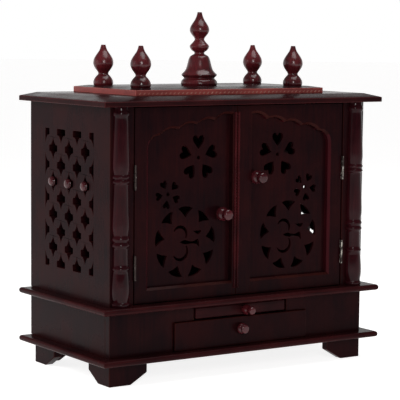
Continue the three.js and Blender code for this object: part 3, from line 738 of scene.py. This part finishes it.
# Drawer and pull-out tray

eased_board("drawer_front", BOARDS, "drawer", width=1.2)
eased_board("drawer_box", PLYWOOD, "drawer", width=0.5, segments=2)
knob("drawer_knob", "drawer")
eased_board("tray_board", TRAY, "tray", width=0.4, segments=2)
knob("tray_knob", "tray")


# Columns and finials: runs of radius and height above the seat, split at the sharp corners

COLUMN_RUNS = [
    [(0, 0), (16.5, 0)],
    [(16.5, 0), (17.6, 3.5), (17.6, 6), (15.5, 9)],
    [(15.5, 9), (17.4, 22), (17.3, 38), (15.3, 64)],
    [(15.3, 64), (17.1, 68), (15, 72)],
    [(15, 72), (14.6, 90), (14.6, 104)],
    [(14.6, 104), (17.3, 109), (15, 115)],
    [(15, 115), (17.3, 120), (15, 126)],
    [(15, 126), (16.7, 139), (16.4, 158), (14.7, 205), (14.6, 216)],
    [(14.6, 216), (17.3, 220), (15, 224.5)],
    [(15, 224.5), (17.3, 228.5), (15, 233)],
    [(15, 233), (16.7, 245), (16.3, 264), (14.4, 318), (14, 332)],
    [(14, 332), (16.3, 338), (14, 345)],
    [(14, 345), (14, 351)],
    [(14, 351), (0, 351)],
]

SMALL_FINIAL_RUNS = [
    [(0, 0), (17.2, 0)],
    [(17.2, 0), (18.5, 3.5), (17.8, 9.5), (14.2, 15.5), (9.9, 20)],
    [(9.9, 20), (9.5, 22.5), (10.6, 25)],
    [(10.6, 25), (15.6, 32), (18.3, 38), (18.7, 43), (17.4, 49), (14.4, 54.5), (11, 59.5),
     (7.6, 64.5), (5.6, 69.5), (4.4, 74)],
    [(4.4, 74), (3.9, 75)],
    [(3.9, 75), (0, 75)],
]

CENTRAL_FINIAL_RUNS = [
    [(0, 0), (33, 0)],
    [(33, 0), (34.6, 4), (33, 9), (30, 12)],
    [(30, 12), (28.9, 13.4), (29.2, 14.8)],
    [(29.2, 14.8), (33, 18.5), (33.2, 21), (30, 24)],
    [(30, 24), (26, 29), (23.4, 36), (21.6, 43), (19.6, 50), (16.5, 55), (9.6, 59)],
    [(9.6, 59), (9.3, 61), (10, 62.5)],
    [(10, 62.5), (14.8, 66), (17.5, 70)],
    [(17.5, 70), (18.2, 73.5), (17, 76)],
    [(17, 76), (13, 80), (9.6, 84.5), (9.1, 87), (10, 89.5)],
    [(10, 89.5), (14.2, 94.5), (17.6, 100), (18.3, 104.5), (17, 110), (13.5, 116), (9.4, 122),
     (6.6, 128), (5, 133), (4.4, 136)],
    [(4.4, 136), (3.9, 137)],
    [(3.9, 137), (0, 137)],
]


def half_column(side):
    """A full turning split down the middle, its flat back on the front of the stile."""
    node = f"column_{side}"
    low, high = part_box(node)
    bm = turned_solid(COLUMN_RUNS, turns=56)
    bmesh.ops.translate(bm, vec=((low.x + high.x) / 2, high.y, low.z), verts=bm.verts)
    cut = bmesh.ops.bisect_plane(bm, geom=[*bm.verts, *bm.edges, *bm.faces], plane_co=high,
                                 plane_no=(0, 1, 0), clear_outer=True, dist=SHORTEST * MM)
    rim = [e for e in cut["geom_cut"] if isinstance(e, bmesh.types.BMEdge)]
    bmesh.ops.holes_fill(bm, edges=rim, sides=0)
    bmesh.ops.recalc_face_normals(bm, faces=bm.faces)
    finish_piece(node + "_turning", bm, COLUMNS, "carcass", [node], crease=TURNED_CREASE)


def finial(node, runs, turns):
    """A turned finial standing on the roof board."""
    low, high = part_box(node)
    bm = turned_solid(runs, turns=turns)
    bmesh.ops.translate(bm, vec=((low.x + high.x) / 2, (low.y + high.y) / 2, low.z), verts=bm.verts)
    finish_piece(node + "_turning", bm, FINIALS, "carcass", [node], crease=TURNED_CREASE)


for side in SIGNS:
    half_column(side)
    for row in ROWS:
        finial(f"finial_{row}_{side}", SMALL_FINIAL_RUNS, turns=48)
finial("finial_centre", CENTRAL_FINIAL_RUNS, turns=64)


# Hidden strips keep their nodes and take a finish

for side in SIGNS:
    for node in (f"drawer_guide_{side}", f"tray_runner_{side}"):
        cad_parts[node].data.materials.clear()
        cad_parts[node].data.materials.append(PLYWOOD)


# Camera, from the picture's perspective, its place in metres and its lens and sensor in millimetres

CAMERA = {"place": (-1.7555, -2.63163, 0.62886), "azimuth": -33.62, "down": 5.83, "roll": 0.53,
          "lens": 151.33, "sensor": 36, "far": 100}


def photo_camera():
    """Looks along the azimuth, from +Y toward -X, tilts down, and rolls about its own view."""
    azimuth, down, roll = (math.radians(CAMERA[k]) for k in ("azimuth", "down", "roll"))
    look = Vector((-math.sin(azimuth) * math.cos(down), math.cos(azimuth) * math.cos(down),
                   -math.sin(down)))
    level = Vector((math.cos(azimuth), math.sin(azimuth), 0))
    upright = level.cross(look)
    right = math.cos(roll) * level + math.sin(roll) * upright
    up = math.cos(roll) * upright - math.sin(roll) * level
    data = bpy.data.cameras.new("photo_camera")
    data.lens = CAMERA["lens"]
    data.sensor_width = CAMERA["sensor"]
    data.clip_end = CAMERA["far"]
    camera = bpy.data.objects.new("photo_camera", data)
    turn = Matrix((right, up, -look)).transposed().to_4x4()
    camera.matrix_world = Matrix.Translation(CAMERA["place"]) @ turn
    bpy.context.scene.collection.objects.link(camera)
    bpy.context.scene.camera = camera


# Floor and lights, in metres and watts

FLOOR_RADIUS = 30
LIGHT_TARGET = (0, 0, 0.33)


def pale_floor():
    """A plain matt floor, wide enough to fill every view."""
    bm = bmesh.new()
    bmesh.ops.create_circle(bm, cap_ends=True, radius=FLOOR_RADIUS, segments=64)
    mesh = bpy.data.meshes.new("floor")
    bm.to_mesh(mesh)
    bm.free()
    floor = bpy.data.objects.new("floor", mesh)
    bpy.context.scene.collection.objects.link(floor)
    material, tree = new_material("pale_floor")
    surface(tree, Base_Color=linear("#b8b7b6"), Roughness=0.9, Emission_Color=linear("#ffffff"),
            Emission_Strength=0.85)
    mesh.materials.append(material)


def soft_light(name, place, size, watts, glare=True):
    """A softbox aimed at the middle of the cabinet; without glare it doesn't show in the lacquer."""
    data = bpy.data.lights.new(name, "AREA")
    data.shape = "RECTANGLE"
    data.size, data.size_y = size
    data.energy = watts
    light = bpy.data.objects.new(name, data)
    aim = (Vector(LIGHT_TARGET) - Vector(place)).to_track_quat("-Z", "Y")
    light.matrix_world = Matrix.Translation(place) @ aim.to_matrix().to_4x4()
    light.visible_glossy = glare
    bpy.context.scene.collection.objects.link(light)


def studio_world(front="#5c5a5a", back="#ffffff", ceiling="#777575"):
    """Studio light: a pale sweep behind the object, dimmer before it and overhead."""
    world = bpy.data.worlds.new("studio")
    world.use_nodes = True
    tree = world.node_tree
    tree.nodes.clear()
    way = add_node(tree, "ShaderNodeTexCoord").outputs["Generated"]
    parts = add_node(tree, "ShaderNodeSeparateXYZ", Vector=way).outputs
    around = blend(tree, ramp(tree, parts["Y"], -0.5, 0.3), linear(front), linear(back))
    colour = blend(tree, ramp(tree, parts["Z"], 0.16, 0.42), around, linear(ceiling))
    light = add_node(tree, "ShaderNodeBackground", Color=colour, Strength=1.0)
    add_node(tree, "ShaderNodeOutputWorld", Surface=light.outputs[0])
    bpy.context.scene.world = world


photo_camera()
pale_floor()
soft_light("key_softbox", (-1.2, -2.6, 1.3), (0.6, 0.9), 31)
soft_light("side_softbox", (-1.5, 0.5, 0.95), (0.6, 0.6), 15, glare=False)
soft_light("top_softbox", (0.4, -0.4, 2.6), (2.0, 1.6), 45)
studio_world()
bpy.context.scene.view_settings.view_transform = "Standard"
